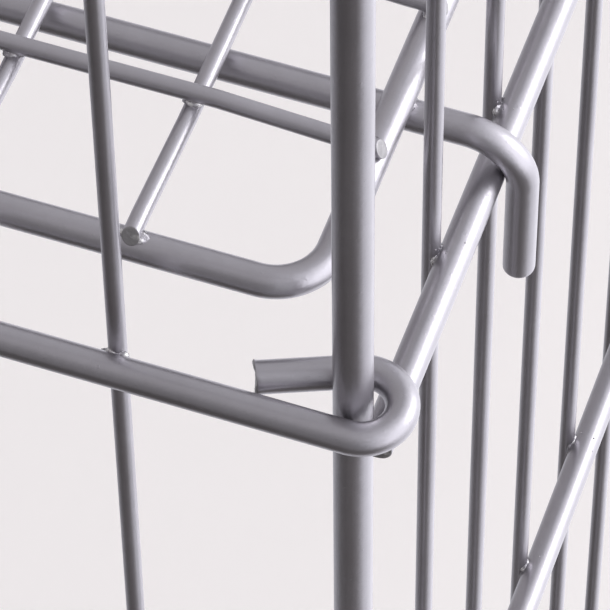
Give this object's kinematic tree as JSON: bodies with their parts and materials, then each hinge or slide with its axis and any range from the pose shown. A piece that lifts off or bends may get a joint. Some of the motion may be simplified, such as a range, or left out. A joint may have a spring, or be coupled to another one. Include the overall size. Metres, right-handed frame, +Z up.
{
  "type": "wire mesh container",
  "caption": "Open-topped foldable wire mesh container: looped-wire panels hinged on corner rods, with a mesh floor hung by hooks inside.",
  "frame": {"origin": "on the ground, at the middle of the footprint", "axes": "+Z up along the corner rods, +X to the right panel, +Y to the rear panel"},
  "size_m": [0.6296, 0.6208, 0.77],
  "materials": {
    "panel_paint": "satin metallic silver grey",
    "floor_paint": "satin metallic silver grey"
  },
  "bodies": {
    "side_right": {"right_front_rod": "panel_paint", "right_rear_rod": "panel_paint", "right_bar_1": "panel_paint", "right_bar_2": "panel_paint", "right_bar_3": "panel_paint", "right_bar_4": "panel_paint", "right_mesh_wires": "panel_paint"},
    "front": {"front_rail_1": "panel_paint", "front_rail_2": "panel_paint", "front_rail_3": "panel_paint", "front_rail_4": "panel_paint", "front_mesh_wires": "panel_paint"},
    "rear": {"rear_rail_1": "panel_paint", "rear_rail_2": "panel_paint", "rear_rail_3": "panel_paint", "rear_rail_4": "panel_paint", "rear_mesh_wires": "panel_paint"},
    "side_left": {"left_front_rod": "panel_paint", "left_rear_rod": "panel_paint", "left_bar_1": "panel_paint", "left_bar_2": "panel_paint", "left_bar_3": "panel_paint", "left_bar_4": "panel_paint", "left_mesh_wires": "panel_paint"},
    "floor": {"floor_frame": "floor_paint", "floor_cross_wires": "floor_paint", "floor_long_wires": "floor_paint", "floor_hook_wire_1": "floor_paint", "floor_hook_wire_2": "floor_paint", "floor_hook_wire_3": "floor_paint", "floor_hook_wire_4": "floor_paint"}
  },
  "joints": [
    {"name": "floor_tilt", "type": "hinge", "parent": "side_right", "child": "floor", "pos_m": [0.305, 0, 0.53], "axis": [0, 1, 0], "range_deg": [0, 20]},
    {"name": "front_hinge", "type": "hinge", "parent": "side_right", "child": "front", "pos_m": [0.3, -0.3, 0.4], "axis": [0, 0, 1], "range_deg": [-0.8, 0.8]},
    {"name": "rear_hinge", "type": "hinge", "parent": "side_right", "child": "rear", "pos_m": [0.3, 0.3, 0.4], "axis": [0, 0, 1], "range_deg": [-0.8, 0.8]},
    {"name": "left_hinge", "type": "hinge", "parent": "front", "child": "side_left", "pos_m": [-0.3, -0.3, 0.4], "axis": [0, 0, 1], "range_deg": [-0.8, 0.8]}
  ],
  "couplings": [
    {"joint": "rear_hinge", "follows": "front_hinge", "ratio": 1},
    {"joint": "left_hinge", "follows": "front_hinge", "ratio": -1}
  ]
}
